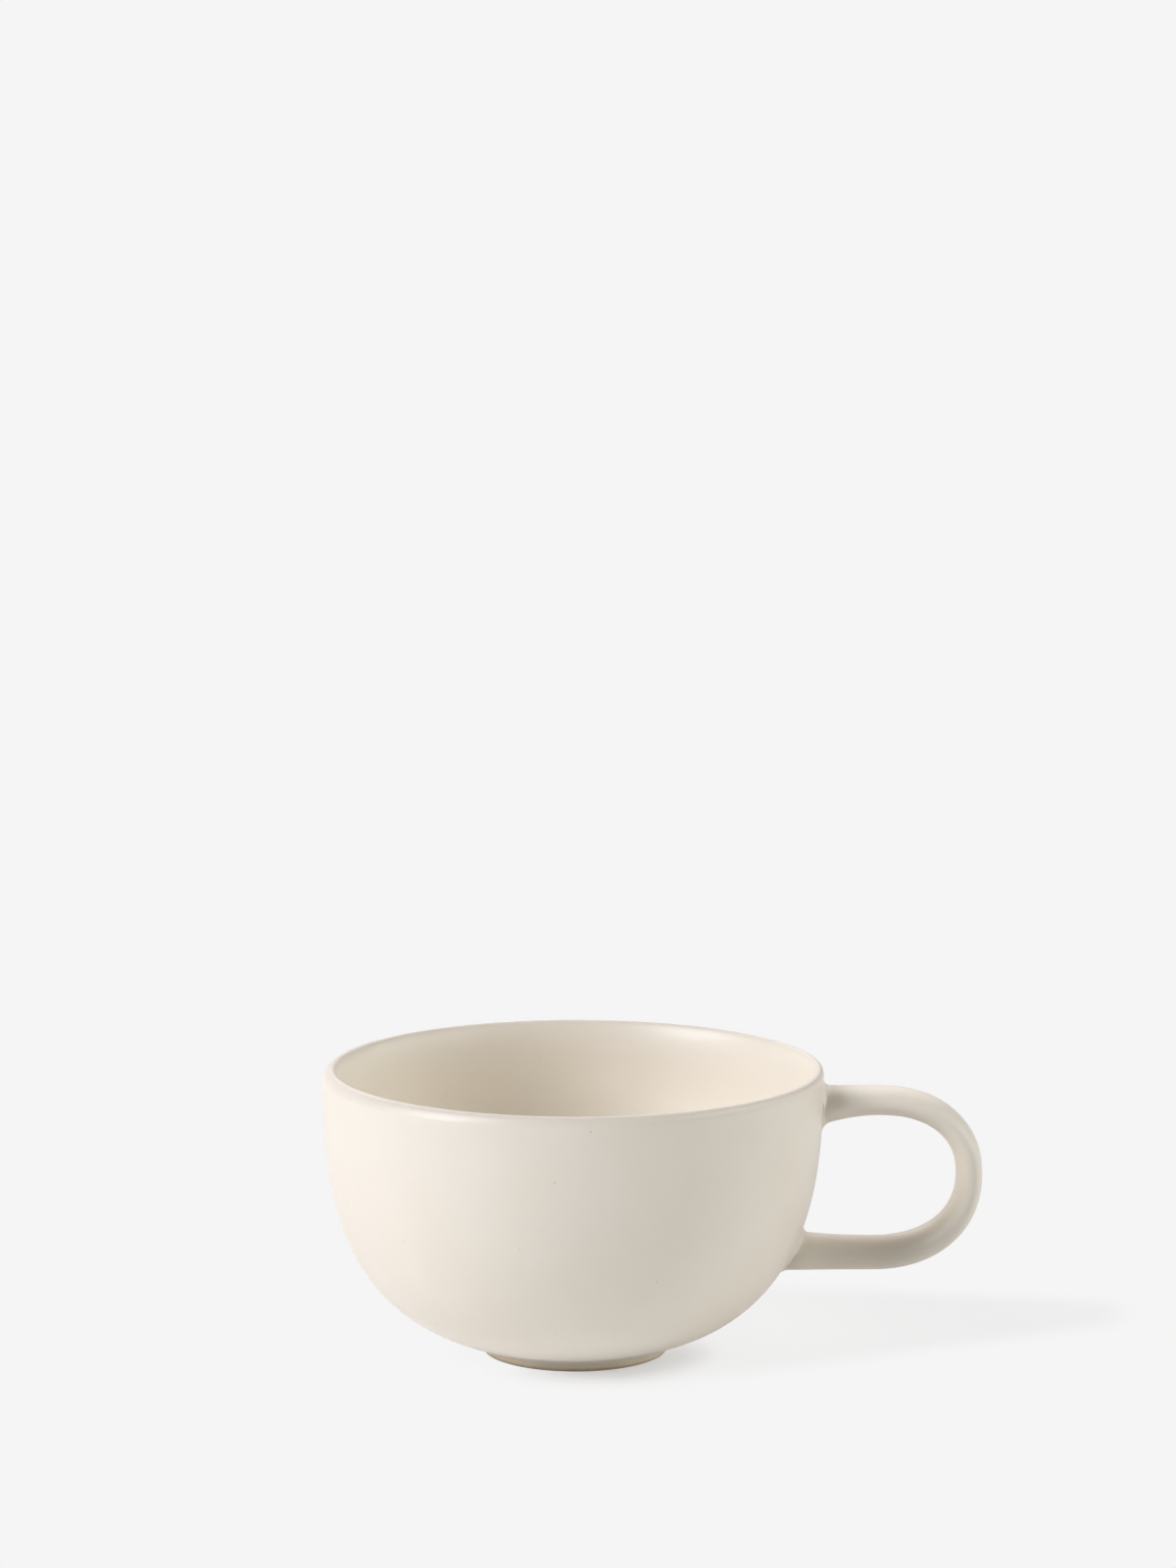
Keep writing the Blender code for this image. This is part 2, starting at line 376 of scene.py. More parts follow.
# an outline in the XZ plane, turned about the cup's axis
def buildTurnedForm():
    tree, given = startShapeTree("turnedForm", "Around", ("Axis X",))
    outline, outlinePoint = lineCurve(tree, given["Geometry"])
    outline, aside = captured(tree, outline, "FLOAT", named(tree, "FLOAT", "aside"))
    circle, circlePoint = circleCurve(tree, given["Around"])
    skin = addNode(tree, "GeometryNodeCurveToMesh")
    feed(tree, skin.inputs["Curve"], circle)
    feed(tree, skin.inputs["Profile Curve"], outline)
    turn = parted(tree, circlePoint)
    spot = parted(tree, outlinePoint)
    x = maths(tree, "ADD", maths(tree, "MULTIPLY", turn["X"], spot["X"]), given["Axis X"])
    x = maths(tree, "ADD", x, aside)
    y = maths(tree, "MULTIPLY", turn["Y"], spot["X"])
    endShapeTree(tree, given, moved(tree, skin.outputs["Mesh"], joinedUp(tree, x, y, spot["Z"])))
    return tree


# a strap along a path in the XZ plane, its ends let into the belly of the bowl
def buildSweptStrap():
    sizes = (
        "Outer Squareness",
        "Inner Squareness",
        "Axis X",
        "Belly Radius",
        "Belly Top",
        "Belly Depth",
        "Belly Squareness",
        "Sink",
        "Edge Thin",
        "Edge Fall",
        "Painted Seam Shade",
        "Seam Reach",
    )
    tree, given = startShapeTree("sweptStrap", "Points", sizes)
    path, middle = lineCurve(tree, given["Geometry"])
    path, outward = captured(tree, path, "VECTOR", named(tree, "FLOAT_VECTOR", "outward"))
    path, girth = captured(tree, path, "VECTOR", named(tree, "FLOAT_VECTOR", "girth"))
    section, turn = circleCurve(tree, given["Points"])
    skin = addNode(tree, "GeometryNodeCurveToMesh")
    skin.inputs["Fill Caps"].default_value = True
    feed(tree, skin.inputs["Curve"], path)
    feed(tree, skin.inputs["Profile Curve"], section)

    # the round section is squared, then set across the path
    turn = parted(tree, turn)
    outer = maths(tree, "GREATER_THAN", turn["Y"], 0.0)
    squareness = mapped(tree, outer, 0, 1, given["Inner Squareness"], given["Outer Squareness"])
    power = maths(tree, "DIVIDE", 2.0, squareness)
    squared = {}
    for axis in "XY":
        size = maths(tree, "POWER", maths(tree, "ABSOLUTE", turn[axis]), power)
        squared[axis] = maths(tree, "MULTIPLY", size, maths(tree, "SIGN", turn[axis]))
    middle = parted(tree, middle)
    outward = parted(tree, outward)
    thick, broad, outerShare = parted(tree, girth)
    innerShare = maths(tree, "SUBTRACT", 1.0, outerShare)
    lift = maths(tree, "MULTIPLY", squared["Y"], mapped(tree, outer, 0, 1, innerShare, outerShare))
    lift = maths(tree, "ADD", lift, maths(tree, "SUBTRACT", 0.5, outerShare))
    lift = maths(tree, "MULTIPLY", lift, thick)
    x = maths(tree, "ADD", middle["X"], maths(tree, "MULTIPLY", outward["X"], lift))
    y = maths(tree, "MULTIPLY", squared["X"], maths(tree, "MULTIPLY", broad, 0.5))
    z = maths(tree, "ADD", middle["Z"], maths(tree, "MULTIPLY", outward["Z"], lift))

    # no point goes deeper than the belly's skin less the sink
    share = maths(tree, "SUBTRACT", given["Belly Top"], z)
    share = maths(tree, "DIVIDE", share, given["Belly Depth"], True)
    share = maths(tree, "POWER", share, given["Belly Squareness"])
    share = maths(tree, "SUBTRACT", 1.0, share, True)
    share = maths(tree, "POWER", share, maths(tree, "DIVIDE", 1.0, given["Belly Squareness"]))
    skinRadius = maths(tree, "MULTIPLY", share, given["Belly Radius"])
    skinRadius = maths(tree, "SUBTRACT", skinRadius, given["Sink"])
    chord = maths(tree, "MULTIPLY", skinRadius, skinRadius)
    chord = maths(tree, "SUBTRACT", chord, maths(tree, "MULTIPLY", y, y))
    chord = maths(tree, "SQRT", maths(tree, "MAXIMUM", chord, 0.0))
    gap = maths(tree, "SUBTRACT", x, chord)
    x = maths(tree, "ADD", maths(tree, "MAXIMUM", x, chord), given["Axis X"])
    shaped = moved(tree, skin.outputs["Mesh"], joinedUp(tree, x, y, z))

    # the glaze runs thin along both edges of the strap; beside the bowl the darkening is painted
    # shade, where the bowl shades the strap's root
    rim = maths(tree, "POWER", maths(tree, "ABSOLUTE", turn["X"]), given["Edge Fall"])
    seamShadeAndEdgeThin = mapped(tree, gap, 0.0, given["Seam Reach"], given["Painted Seam Shade"], given["Edge Thin"], True)
    edge = addNode(tree, "GeometryNodeStoreNamedAttribute", data_type="FLOAT", domain="POINT")
    feed(tree, edge.inputs["Geometry"], shaped)
    edge.inputs["Name"].default_value = "glazeThinAndPaintedLight"
    feed(tree, edge.inputs["Value"], maths(tree, "MULTIPLY", rim, seamShadeAndEdgeThin))
    endShapeTree(tree, given, edge.outputs["Geometry"])
    return tree


turnedForm = buildTurnedForm()
sweptStrap = buildSweptStrap()


def putIn(name, mesh):
    piece = bpy.data.objects.new(name, mesh)
    bpy.context.scene.collection.objects.link(piece)
    return piece


def faceOut(mesh):
    shape = bmesh.new()
    shape.from_mesh(mesh)
    bmesh.ops.recalc_face_normals(shape, faces=shape.faces)
    shape.to_mesh(mesh)
    shape.free()


# runs a tree on a line of points and keeps the plain mesh
def grown(name, tree, points, closed, attributes, values):
    line = bpy.data.meshes.new(name + "Line")
    edges = [(i, i + 1) for i in range(len(points) - 1)]
    if closed:
        edges.append((len(points) - 1, 0))
    line.from_pydata(points, edges, [])
    for key, (kind, numbers) in attributes.items():
        layer = line.attributes.new(key, kind, "POINT")
        for i, number in enumerate(numbers):
            if kind == "FLOAT":
                layer.data[i].value = number
            else:
                layer.data[i].vector = number
    piece = putIn(name, line)
    shaper = piece.modifiers.new("shape", "NODES")
    shaper.node_group = tree
    for item in tree.interface.items_tree:
        if item.in_out == "INPUT" and item.name in values:
            shaper[item.identifier] = values[item.name]
    ready = piece.evaluated_get(bpy.context.evaluated_depsgraph_get())
    mesh = bpy.data.meshes.new_from_object(ready)
    piece.modifiers.remove(shaper)
    piece.data = mesh
    mesh.name = name
    bpy.data.meshes.remove(line)
    faceOut(mesh)
    return piece


def settle(piece, node):
    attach(piece, "root")
    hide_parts(node)
    print(piece.name, "stands for", node, "with", len(piece.data.polygons), "faces")


bowl = {
    "wall": 0.0040,
    "lipOut": 0.0016,  # from the outside to the top of the lip
    "lipOutDrop": 0.0024,  # the lip rounds over quickly outside and slowly inside
    "lipInDrop": 0.0085,
    "crestFall": 10,  # how fast the lip's darkening, thin glaze and partly painted shade, fades again inside
    "floor": 0.0046,  # thickness under the well
    "squareness": 2.8,
    "wellSquareness": 2.6,
    "wellBounce": 0.40,  # how much painted bounce light lightens the glaze in the well
    "wellAside": 0.0006,  # off the middle, so that the lip is broader away from the handle
    "closingDrop": 0.0019,  # how far under the flat base the belly would close
    "baseHollow": 0.0003,
    "around": 192,
    "wallPoints": 72,
    "lipPoints": 20,
    "basePoints": 8,
}
bellyDepth = cupHeight - bowlSeat + bowl["closingDrop"]


def bellyRadius(level):
    share = min(max((cupHeight - level) / bellyDepth, 0), 1)
    return rimRadius * (1 - share ** bowl["squareness"]) ** (1 / bowl["squareness"])


# from the middle of the floor up inside, over the lip, down outside and under the base
def bowlOutline():
    crest = rimRadius - bowl["lipOut"]
    wellRadius = rimRadius - bowl["wall"]
    wellTop = cupHeight - bowl["lipInDrop"]
    wellDepth = wellTop - bowlSeat - bowl["floor"]
    points, thin, aside = [], [], []

    def add(radius, level, thinness=0, shift=0):
        points.append((radius, 0, level))
        thin.append(thinness)
        aside.append(shift)

    # the well is painted lighter as painted bounce light; the lip is darker, partly from thin glaze
    # and partly painted shade
    for i in range(bowl["wallPoints"]):
        angle = math.pi / 2 * (1 - i / bowl["wallPoints"])
        across, down = squareTurn(angle, bowl["wellSquareness"])
        add(wellRadius * across, wellTop - wellDepth * down, -bowl["wellBounce"], bowl["wellAside"])
    for i in range(bowl["lipPoints"]):
        angle = math.pi / 2 * i / bowl["lipPoints"]
        radius = crest - (crest - wellRadius) * math.cos(angle)
        level = wellTop + bowl["lipInDrop"] * math.sin(angle)
        crestward = math.sin(angle) ** bowl["crestFall"]
        add(radius, level, crestward - bowl["wellBounce"] * (1 - crestward), bowl["wellAside"])
    for i in range(bowl["lipPoints"] + 1):
        angle = math.pi / 2 * i / bowl["lipPoints"]
        radius = crest + (rimRadius - crest) * math.sin(angle)
        level = cupHeight - bowl["lipOutDrop"] * (1 - math.cos(angle))
        add(radius, level, math.cos(angle), bowl["wellAside"] * math.cos(angle))
    baseShare = (cupHeight - bowlSeat) / bellyDepth
    baseAngle = math.asin(baseShare ** (bowl["squareness"] / 2))
    first = math.asin((bowl["lipOutDrop"] / bellyDepth) ** (bowl["squareness"] / 2))
    for i in range(1, bowl["wallPoints"] + 1):
        angle = first + (baseAngle - first) * i / bowl["wallPoints"]
        across, down = squareTurn(angle, bowl["squareness"])
        add(rimRadius * across, cupHeight - bellyDepth * down)
    baseRadius = points[-1][0]
    for i in range(1, bowl["basePoints"] + 1):
        share = 1 - i / bowl["basePoints"]
        add(baseRadius * share, bowlSeat + bowl["baseHollow"] * (1 - share**2))
    return points, thin, aside


bowlPoints, bowlThinAndPaintedLight, bowlAside = bowlOutline()
cupBowl = grown(
    "cupBowl",
    turnedForm,
    bowlPoints,
    False,
    {"glazeThinAndPaintedLight": ("FLOAT", bowlThinAndPaintedLight), "aside": ("FLOAT", bowlAside)},
    {"Around": bowl["around"], "Axis X": axisX, "Finish": glazeMaterial},
)
settle(cupBowl, "cup_bowl")


foot = {
    "restRadius": 0.0199,
    "aside": 0.0005,  # set a little towards the handle
    "landWidth": 0.0026,
    "edgeRound": 0.0004,
    "flare": 0.0013,
    "cove": 0.0013,  # how far the glaze-filled corner runs out under the belly
    "coveDrop": 0.0011,
    "hidden": 0.0003,  # how far its edge runs up into the bowl
    "around": 144,
    "covePoints": 8,
    "edgePoints": 6,
}


# the foot's section, run round from the outer corner under the belly to the inner one
def footOutline():
    edge = foot["edgeRound"]
    slope = foot["flare"] / (footTop - edge)

    def cove(side, out):
        startR, startZ = side - out * slope * foot["coveDrop"], bowlSeat - foot["coveDrop"]
        far = side + out * foot["cove"]
        arc = []
        for i in range(foot["covePoints"] + 1):
            t = i / foot["covePoints"]
            r = (1 - t) ** 2 * startR + 2 * t * (1 - t) * side + t**2 * far
            z = (1 - t) ** 2 * startZ + 2 * t * (1 - t) * bowlSeat + t**2 * bowlSeat
            arc.append((r, 0, z))
        arc.append((far, 0, bowlSeat + foot["hidden"]))
        return arc

    rest = foot["restRadius"]
    land = rest - foot["landWidth"]
    spread = edge + slope * (bowlSeat - edge)
    turns = [math.pi / 2 * i / foot["edgePoints"] for i in range(foot["edgePoints"] + 1)]
    points = cove(rest + spread, 1)[::-1]
    points += [(rest + edge * math.cos(turn), 0, edge * (1 - math.sin(turn))) for turn in turns]
    points += [(land - edge * math.sin(turn), 0, edge * (1 - math.cos(turn))) for turn in turns]
    return points + cove(land - spread, -1)


footRing = grown(
    "footRing",
    turnedForm,
    footOutline(),
    True,
    {},
    {"Around": foot["around"], "Axis X": axisX + foot["aside"], "Finish": clayMaterial},
)
settle(footRing, "foot_ring")


handle = {
    "upperLevel": 0.0559,
    "lowerLevel": 0.0218,
    "upperStart": 0.0674,  # where the bend leaves each arm, from the cup's axis
    "lowerStart": 0.0659,
    "upperInset": 0.0022,  # how far each arm runs in under the belly's skin
    "lowerInset": 0.0060,
    "apexRise": 0.0007,
    "bendSquareness": 2.2,
    "outerSquareness": 2.1,  # an oval strap, a little flatter outside
    "innerSquareness": 2.0,
    "upperShare": 0.52,  # of the thickness, outside the widest line: it sags on both arms
    "bendShare": 0.42,
    "lowerShare": 0.30,
    "upperThick": 0.0062,
    "bendThick": 0.0058,
    "lowerThick": 0.0070,
    "broad": 0.0124,
    "upperRise": 0.0,  # how far each arm climbs towards the bowl
    "lowerRise": 0.0004,
    "upperRoot": 0.0021,  # how much deeper it gets there, from below
    "lowerRoot": 0.0004,
    "rootSpread": 0.0010,
    "rootMost": 1.5,  # all three grow no further than this, where 1 is at the rim's radius
    "edgeThin": 0.15,  # how thin the glaze runs along the strap's edges
    "edgeFall": 4.0,  # how fast it thickens again away from them
    "paintedSeamShade": 1.5,  # painted shade on the strap's sides beside the bowl, and how far along the arm it reaches
    "seamReach": 0.006,
    "armPoints": 26,
    "bendPoints": 72,
    "sectionPoints": 64,
    "sink": 0.0003,
}
apexLevel = (handle["upperLevel"] + handle["lowerLevel"]) / 2 + handle["apexRise"]
apexX = handleReach - handle["bendThick"] / 2


# middle, thickness and breadth of an arm at a distance from the cup's axis
def armShape(arm, x):
    start = handle[arm + "Start"]
    rootward = min(max((start - x) / (start - rimRadius), 0), handle["rootMost"]) ** 2
    deeper = handle[arm + "Root"] * rootward
    middle = handle[arm + "Level"] + handle[arm + "Rise"] * rootward - deeper / 2
    broad = handle["broad"] + handle["rootSpread"] * rootward
    return middle, handle[arm + "Thick"] + deeper, broad


def handlePath():
    points, outward, girth = [], [], []

    def addArm(arm, up, distances):
        for x in distances:
            middle, thick, broad = armShape(arm, x)
            points.append((x, 0, middle))
            outward.append((0, 0, up))
            girth.append((thick, broad, handle[arm + "Share"]))

    count = handle["armPoints"]
    upperEnd = bellyRadius(handle["upperLevel"]) - handle["upperInset"]
    upperRun = handle["upperStart"] - upperEnd
    addArm("upper", 1, [upperEnd + upperRun * i / count for i in range(count)])
    steep = handle["bendSquareness"] - 1
    for i in range(handle["bendPoints"] + 1):
        angle = math.pi * (0.5 - i / handle["bendPoints"])
        arm = "upper" if angle >= 0 else "lower"
        reach = apexX - handle[arm + "Start"]
        rise = abs(handle[arm + "Level"] - apexLevel)
        across, up = squareTurn(angle, handle["bendSquareness"])
        points.append((handle[arm + "Start"] + reach * across, 0, apexLevel + rise * up))
        lean = math.copysign(abs(up) ** steep, up) / rise
        outward.append(tuple(Vector((across**steep / reach, 0, lean)).normalized()))
        turned = math.sin(angle) ** 2
        thick = handle["bendThick"] + (handle[arm + "Thick"] - handle["bendThick"]) * turned
        share = handle["bendShare"] + (handle[arm + "Share"] - handle["bendShare"]) * turned
        girth.append((thick, handle["broad"], share))
    lowerEnd = bellyRadius(handle["lowerLevel"]) - handle["lowerInset"]
    lowerRun = handle["lowerStart"] - lowerEnd
    addArm("lower", -1, [handle["lowerStart"] - lowerRun * (i + 1) / count for i in range(count)])
    return points, outward, girth


pathPoints, pathOutward, pathGirth = handlePath()
loopHandle = grown(
    "loopHandle",
    sweptStrap,
    pathPoints,
    False,
    {"outward": ("FLOAT_VECTOR", pathOutward), "girth": ("FLOAT_VECTOR", pathGirth)},
    {
        "Points": handle["sectionPoints"],
        "Outer Squareness": handle["outerSquareness"],
        "Inner Squareness": handle["innerSquareness"],
        "Axis X": axisX,
        "Belly Radius": rimRadius,
        "Belly Top": cupHeight,
        "Belly Depth": bellyDepth,
        "Belly Squareness": bowl["squareness"],
        "Sink": handle["sink"],
        "Edge Thin": handle["edgeThin"],
        "Edge Fall": handle["edgeFall"],
        "Painted Seam Shade": handle["paintedSeamShade"],
        "Seam Reach": handle["seamReach"],
        "Finish": glazeMaterial,
    },
)
settle(loopHandle, "handle")


# the slip between strap and bowl: a ball rolled round each joint, its radius changing on the way
slip = {
    "upper": {"above": 0.0020, "sides": 0.0008, "below": 0.0030},
    "lower": {"above": 0.0018, "sides": 0.0008, "below": 0.0048},
    "around": 96,
    "across": 14,
    "bead": 0.00042,  # the slip stands proud along both sides
    "beadFall": 6,  # and how fast that dies away towards top and bottom
    "feather": 0.0005,  # how far each edge runs out over its neighbour
    "feathered": 0.00004,  # and how deep it ends
    "hidden": 0.0005,
    "seamFall": 2.5,  # how fast the painted shade fades from the strap towards the bowl
    "nudge": 0.00002,  # step that the strap's slope is measured over
    "ballReach": 0.012,  # how far beyond the joint a ball's place is looked for
    "ballRounds": 44,
    "seekStep": 0.004,  # first step towards the belly's nearest point, and how it shrinks
    "seekShrink": 0.6,
    "seekRounds": 60,
}


# for the half of the strap that faces this way: its squareness, its share of the thickness,
# and how far the strap's widest line sits above the middle
def strapHalf(arm, turn):
    top = arm == "upper"
    outer = (math.sin(turn) > 0) == top
    outerShare = handle[arm + "Share"]
    squareness = handle["outerSquareness" if outer else "innerSquareness"]
    share = outerShare if outer else 1 - outerShare
    shift = 0.5 - outerShare
    return squareness, share, shift if top else -shift


def strapPoint(arm, turn, x):
    middle, thick, broad = armShape(arm, x)
    squareness, share, shift = strapHalf(arm, turn)
    side, lift = squareTurn(turn, squareness)
    return Vector((x, side * broad / 2, middle + (shift + lift * share) * thick))


def strapNormal(arm, turn, x):
    along = strapPoint(arm, turn, x + slip["nudge"]) - strapPoint(arm, turn, x - slip["nudge"])
    thick, broad = armShape(arm, x)[1:]
    squareness, share = strapHalf(arm, turn)[:2]
    side, lift = squareTurn(turn, squareness)
    across = math.copysign(abs(side) ** (squareness - 1), side) / (broad / 2)
    up = math.copysign(abs(lift) ** (squareness - 1), lift) / (thick * share)
    normal = Vector((0, across, up)).normalized()
    return (normal - along * (normal.dot(along) / along.length_squared)).normalized()


# nearest point of the belly and its normal, worked out in the plane through the cup's axis
def bellyFoot(point):
    radius = math.hypot(point.x, point.y)
    level = point.z
    step = slip["seekStep"]
    for i in range(slip["seekRounds"]):
        tries = (level - step, level, level + step)
        nearest = min((math.hypot(bellyRadius(z) - radius, z - point.z), z) for z in tries)[1]
        if nearest == level:
            step *= slip["seekShrink"]
        level = nearest
    r = bellyRadius(level)
    share = max((cupHeight - level) / bellyDepth, 0)
    power = bowl["squareness"] - 1
    slope = Vector(((r / rimRadius) ** power / rimRadius, -(share**power) / bellyDepth)).normalized()
    way = Vector((point.x / radius, point.y / radius))
    place = Vector((way.x * r, way.y * r, level))
    normal = Vector((way.x * slope.x, way.y * slope.x, slope.y))
    return place, normal


# where a ball of this size comes to rest on both the strap and the belly
def restBall(arm, turn, size):
    near = bellyRadius(handle["lowerLevel"]) - slip["ballReach"]
    far = rimRadius + slip["ballReach"]
    for i in range(slip["ballRounds"]):
        x = (near + far) / 2
        touch = strapPoint(arm, turn, x)
        normal = strapNormal(arm, turn, x)
        ball = touch + normal * size
        place, out = bellyFoot(ball)
        if (ball - place).dot(out) < size:
            near = x
        else:
            far = x
    return ball, touch, normal, place, out


# one section of the slip: from the strap over to the belly, and back inside the clay
def slipRing(arm, turn):
    sizes = slip[arm]
    rise = math.sin(turn)
    size = sizes["above"] if rise > 0 else sizes["below"]
    size = sizes["sides"] + (size - sizes["sides"]) * rise**2
    ball, touch, normal, place, out = restBall(arm, turn, size)
    down, back = -normal, -out
    spread = math.acos(max(-1, min(1, down.dot(back))))
    bead = slip["bead"] * math.cos(turn) ** slip["beadFall"]
    runOff = Vector((1, 0, 0)) - normal * normal.x
    ring = [touch + runOff.normalized() * slip["feather"] - normal * slip["feathered"]]
    for i in range(slip["across"] + 1):
        share = i / slip["across"]
        way = down * math.sin((1 - share) * spread) + back * math.sin(share * spread)
        proud = bead * math.sin(math.pi * share) ** 2
        ring.append(ball + way / math.sin(spread) * (size - proud))
    away = (place - touch) - out * (place - touch).dot(out)
    ring.append(place + away.normalized() * slip["feather"] - out * slip["feathered"])
    ring.append(place - out * slip["hidden"])
    ring.append(touch - normal * slip["hidden"] - Vector((slip["hidden"], 0, 0)))
    return ring


def makeSlip(name, arm):
    shape = bmesh.new()
    thin = shape.verts.layers.float.new("glazeThinAndPaintedLight")
    shift = Vector((axisX, 0, 0))
    turns = [2 * math.pi * i / slip["around"] for i in range(slip["around"])]
    rings = [[shape.verts.new(point + shift) for point in slipRing(arm, turn)] for turn in turns]
    # painted shade on the slip's sides along the strap, where the bowl shades the joint
    for turn, ring, following in zip(turns, rings, rings[1:] + rings[:1]):
        side = math.cos(turn) ** handle["edgeFall"]
        for j in range(len(ring)):
            ring[j][thin] = handle["paintedSeamShade"] * side * max(0, 1 - slip["seamFall"] * j / len(ring))
            k = (j + 1) % len(ring)
            shape.faces.new((ring[j], ring[k], following[k], following[j]))
    bmesh.ops.recalc_face_normals(shape, faces=shape.faces)
    mesh = bpy.data.meshes.new(name)
    shape.to_mesh(mesh)
    shape.free()
    mesh.shade_smooth()
    mesh.materials.append(glazeMaterial)
    return putIn(name, mesh)


settle(makeSlip("upperSlip", "upper"), "upper_slip_fillet")
settle(makeSlip("lowerSlip", "lower"), "lower_slip_fillet")


# pale ground without a horizon: the shadow is deep at the foot, in front and on the handle's side,
# faint further out on the handle's side, and nowhere else
stage = {
    "background": 0.913,
    "ground": (0.98, 0.98, 0.98, 1),
    "shaded": (0.80, 0.80, 0.80, 1),  # the side away from the key light
    "shadedFrom": 0.045,
    "shadedTo": 0.080,
    "size": 60.0,
    "shadowWay": (0.71, -0.70, 0),
    "shadowTurn": (0.1, 0.9),  # cosines from that way where the shadow is least and most
    "shadowLeast": 0.05,
    "shadowMost": 0.55,
    "haloFrom": 0.0210,
    "haloTo": 0.0400,
    "tail": 0.13,  # the long faint shadow beside the cup, narrowing as it goes
    "tailEnd": 0.131,
    "tailFadeIn": 0.03,
    "tailFadeOut": 0.012,
    "tailStart": 0.012,  # its middle line, behind the cup's axis
    "tailSlope": 0.15,
    "tailHalf": 0.052,
    "tailTaper": 0.34,
    "tailSoft": 0.009,
}


# how much of the cup's own shadow shows at each spot
def shadowShare(tree, fromAxis, right, back):
    length = addNode(tree, "ShaderNodeVectorMath", operation="LENGTH")
    feed(tree, length.inputs[0], fromAxis)
    span = length.outputs["Value"]
    way = addNode(tree, "ShaderNodeVectorMath", operation="DOT_PRODUCT")
    feed(tree, way.inputs[0], fromAxis)
    way.inputs[1].default_value = stage["shadowWay"]
    facing = maths(tree, "DIVIDE", way.outputs["Value"], span)
    halo = mapped(tree, facing, *stage["shadowTurn"], stage["shadowLeast"], stage["shadowMost"])
    nearby = mapped(tree, span, stage["haloFrom"], stage["haloTo"], 1, 0, True)
    halo = maths(tree, "MULTIPLY", halo, nearby)

    middle = maths(tree, "MULTIPLY", right, stage["tailSlope"])
    middle = maths(tree, "ADD", middle, stage["tailStart"])
    aside = maths(tree, "ABSOLUTE", maths(tree, "SUBTRACT", back, middle))
    half = maths(tree, "MULTIPLY", right, stage["tailTaper"])
    half = maths(tree, "SUBTRACT", stage["tailHalf"], half)
    inside = maths(tree, "SUBTRACT", half, aside)
    tail = mapped(tree, inside, -stage["tailSoft"], stage["tailSoft"], 0, stage["tail"], True)
    fadeIn = mapped(tree, right, 0.0, stage["tailFadeIn"], 0, 1, True)
    fadeFrom = stage["tailEnd"] - stage["tailFadeOut"]
    fadeOut = mapped(tree, right, fadeFrom, stage["tailEnd"], 1, 0, True)
    tail = maths(tree, "MULTIPLY", tail, maths(tree, "MULTIPLY", fadeIn, fadeOut))
    return maths(tree, "MAXIMUM", halo, tail)


def layGround():
    far = stage["size"] / 2
    mesh = bpy.data.meshes.new("ground")
    corners = [(-far, -far, 0), (far, -far, 0), (far, far, 0), (-far, far, 0)]
    mesh.from_pydata(corners, [], [(0, 1, 2, 3)])
    material = bpy.data.materials.new("ground")
    material.use_nodes = True
    tree = material.node_tree
    tree.nodes.clear()
    place = addNode(tree, "ShaderNodeTexCoord")
    fromAxis = addNode(tree, "ShaderNodeVectorMath", operation="SUBTRACT")
    feed(tree, fromAxis.inputs[0], place.outputs["Object"])
    fromAxis.inputs[1].default_value = (axisX, 0, 0)
    spot = parted(tree, fromAxis.outputs[0])
    paint = addNode(tree, "ShaderNodeBsdfDiffuse")
    dim = mapped(tree, spot["X"], stage["shadedFrom"], stage["shadedTo"], 0, 1, True)
    feed(tree, paint.inputs["Color"], mixedColour(tree, dim, stage["ground"], stage["shaded"]))
    glow = addNode(tree, "ShaderNodeEmission")
    glow.inputs["Color"].default_value = (stage["background"],) * 3 + (1,)
    shadow = shadowShare(tree, fromAxis.outputs[0], spot["X"], spot["Y"])
    plain = maths(tree, "SUBTRACT", 1.0, shadow)
    seen = addNode(tree, "ShaderNodeLightPath").outputs["Is Camera Ray"]
    plain = maths(tree, "MULTIPLY", plain, seen)
    showMixed(tree, "ShaderNodeOutputMaterial", plain, paint, glow)
    mesh.materials.append(material)
    ground = putIn("ground", mesh)


layGround()
print("ground laid")


light = {
    "roomAhead": 0.27,  # the pale room, seen only in the gloss of the glaze: dim in front
    "roomBehind": 0.51,  # and bright at the backdrop
    "roomTurn": (0.0, 0.8),  # how far back a ray points where each of them is reached
    "tints": {
        "cool": (0.985, 1.00, 1.075),
        "plain": (0.985, 1.00, 1.00),
        "warm": (1.10, 1.00, 0.99),
    },
    "suns": {
        "keyLow": {"tint": "cool", "strength": 0.50, "azimuth": -60, "elevation": 21, "angle": 22},
        "keyMiddle": {"tint": "cool", "strength": 2.23, "azimuth": -66, "elevation": 34, "angle": 40},
        "keyHigh": {"tint": "cool", "strength": 0.20, "azimuth": -74, "elevation": 48, "angle": 36},
        "rightFront": {"tint": "plain", "strength": 0.45, "azimuth": 62, "elevation": 20, "angle": 24},
        "rightHigh": {"tint": "plain", "strength": 0.62, "azimuth": 85, "elevation": 30, "angle": 44},
        "rightLow": {"tint": "plain", "strength": 0.86, "azimuth": 100, "elevation": 15, "angle": 44},
        "back": {"tint": "warm", "strength": 0.86, "azimuth": 180, "elevation": 40, "angle": 56},
        "backLeft": {"tint": "warm", "strength": 0.32, "azimuth": -150, "elevation": 22, "angle": 50},
    },
}


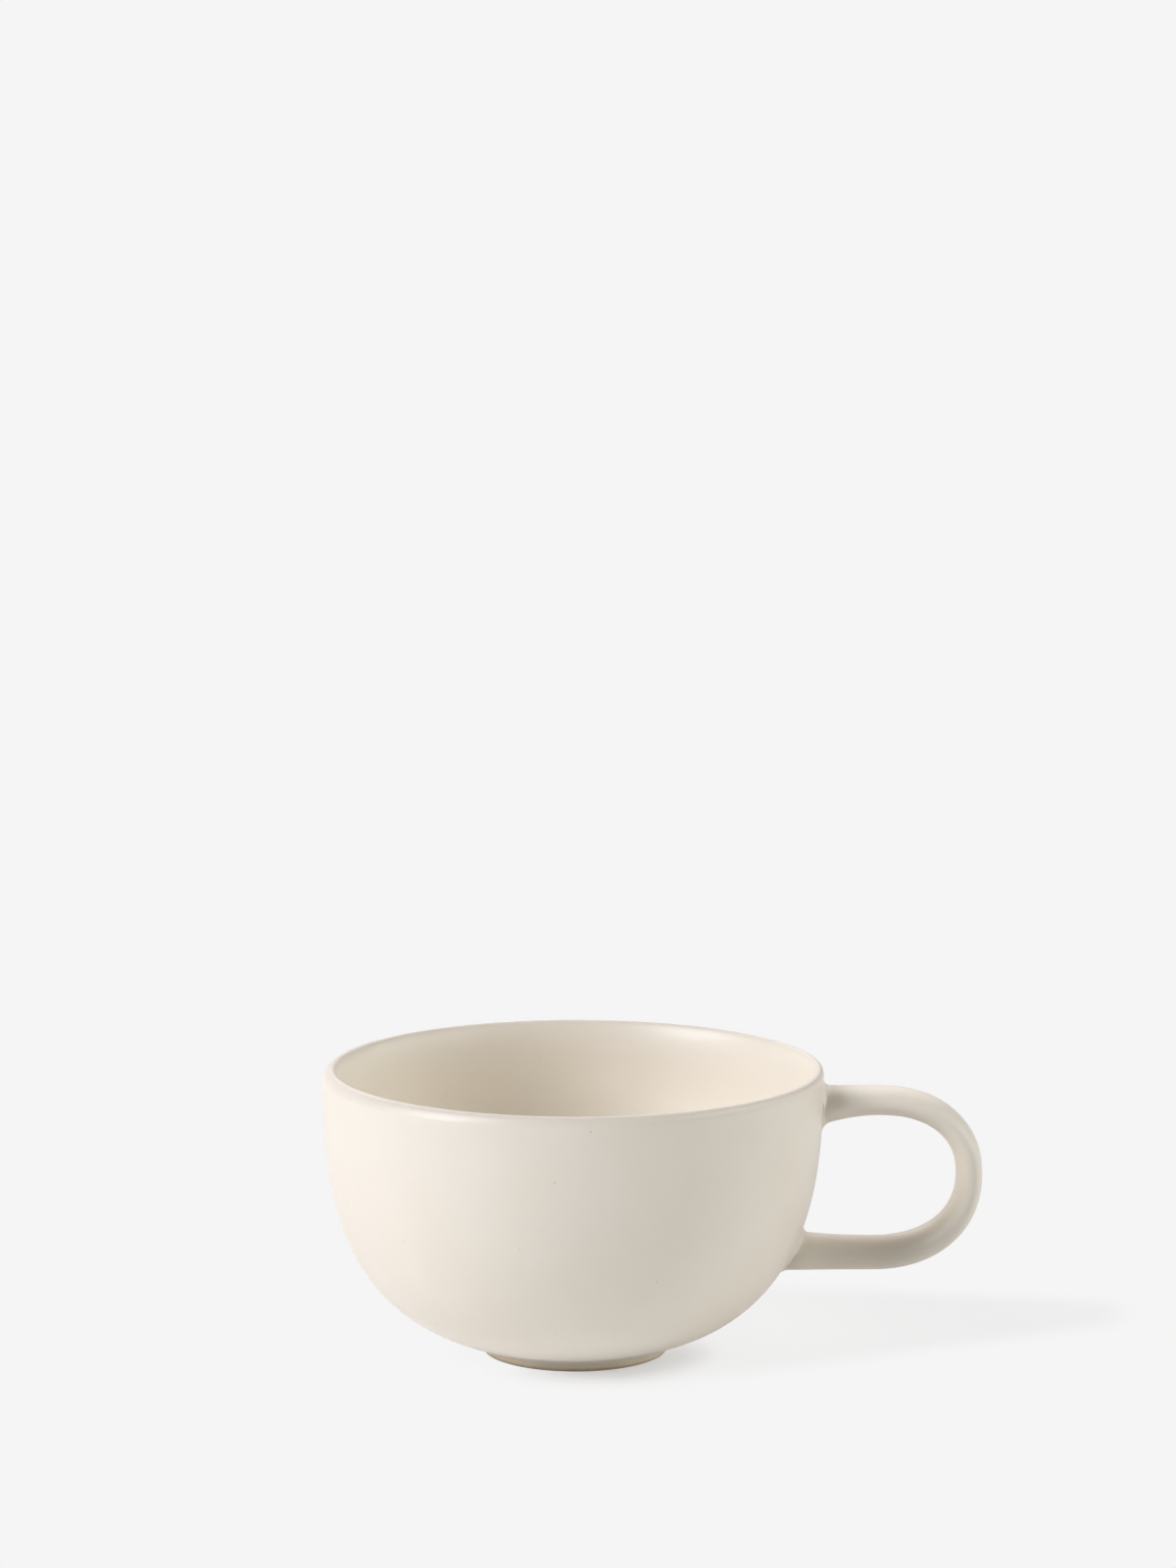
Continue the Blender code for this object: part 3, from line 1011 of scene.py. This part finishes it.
# azimuth 0 shines from the camera's side, -90 from the left
def addSun(name, values):
    lamp = bpy.data.lights.new(name, "SUN")
    lamp.energy = values["strength"]
    lamp.color = light["tints"][values["tint"]]
    lamp.angle = math.radians(values["angle"])
    sun = bpy.data.objects.new(name, lamp)
    bpy.context.scene.collection.objects.link(sun)
    azimuth = math.radians(values["azimuth"])
    rise = math.radians(values["elevation"])
    flat = math.cos(rise)
    source = Vector((math.sin(azimuth) * flat, -math.cos(azimuth) * flat, math.sin(rise)))
    sun.rotation_euler = source.to_track_quat("Z", "Y").to_euler()


def lightWorld():
    world = bpy.data.worlds.new("studio")
    bpy.context.scene.world = world
    world.use_nodes = True
    tree = world.node_tree
    tree.nodes.clear()
    path = addNode(tree, "ShaderNodeLightPath").outputs
    way = addNode(tree, "ShaderNodeTexCoord").outputs["Generated"]
    back = parted(tree, way)["Y"]
    room = mapped(tree, back, *light["roomTurn"], light["roomAhead"], light["roomBehind"], True)
    around = addNode(tree, "ShaderNodeBackground")
    behind = addNode(tree, "ShaderNodeBackground")
    for node in (around, behind):
        node.inputs["Color"].default_value = (1, 1, 1, 1)
    feed(tree, around.inputs["Strength"], maths(tree, "MULTIPLY", path["Is Glossy Ray"], room))
    behind.inputs["Strength"].default_value = stage["background"]
    showMixed(tree, "ShaderNodeOutputWorld", path["Is Camera Ray"], around, behind)


for sunName, sunValues in light["suns"].items():
    addSun(sunName, sunValues)
lightWorld()
print("studio lit")


view = {
    "distance": 1.0,
    "height": 0.2663,
    "pitch": 7.98,  # degrees below level
    "yaw": -0.191,
    "lens": 106.45,  # millimetres, as is the sensor
    "sensor": 36,
    "clipEnd": 200,
}


def setCamera():
    data = bpy.data.cameras.new("camera")
    data.lens = view["lens"]
    data.sensor_width = view["sensor"]
    data.clip_end = view["clipEnd"]
    camera = bpy.data.objects.new("camera", data)
    bpy.context.scene.collection.objects.link(camera)
    camera.location = (axisX, -view["distance"], view["height"])
    camera.rotation_euler = (math.radians(90 - view["pitch"]), 0, math.radians(view["yaw"]))
    bpy.context.scene.camera = camera


setCamera()
bpy.context.scene.view_settings.view_transform = "Standard"
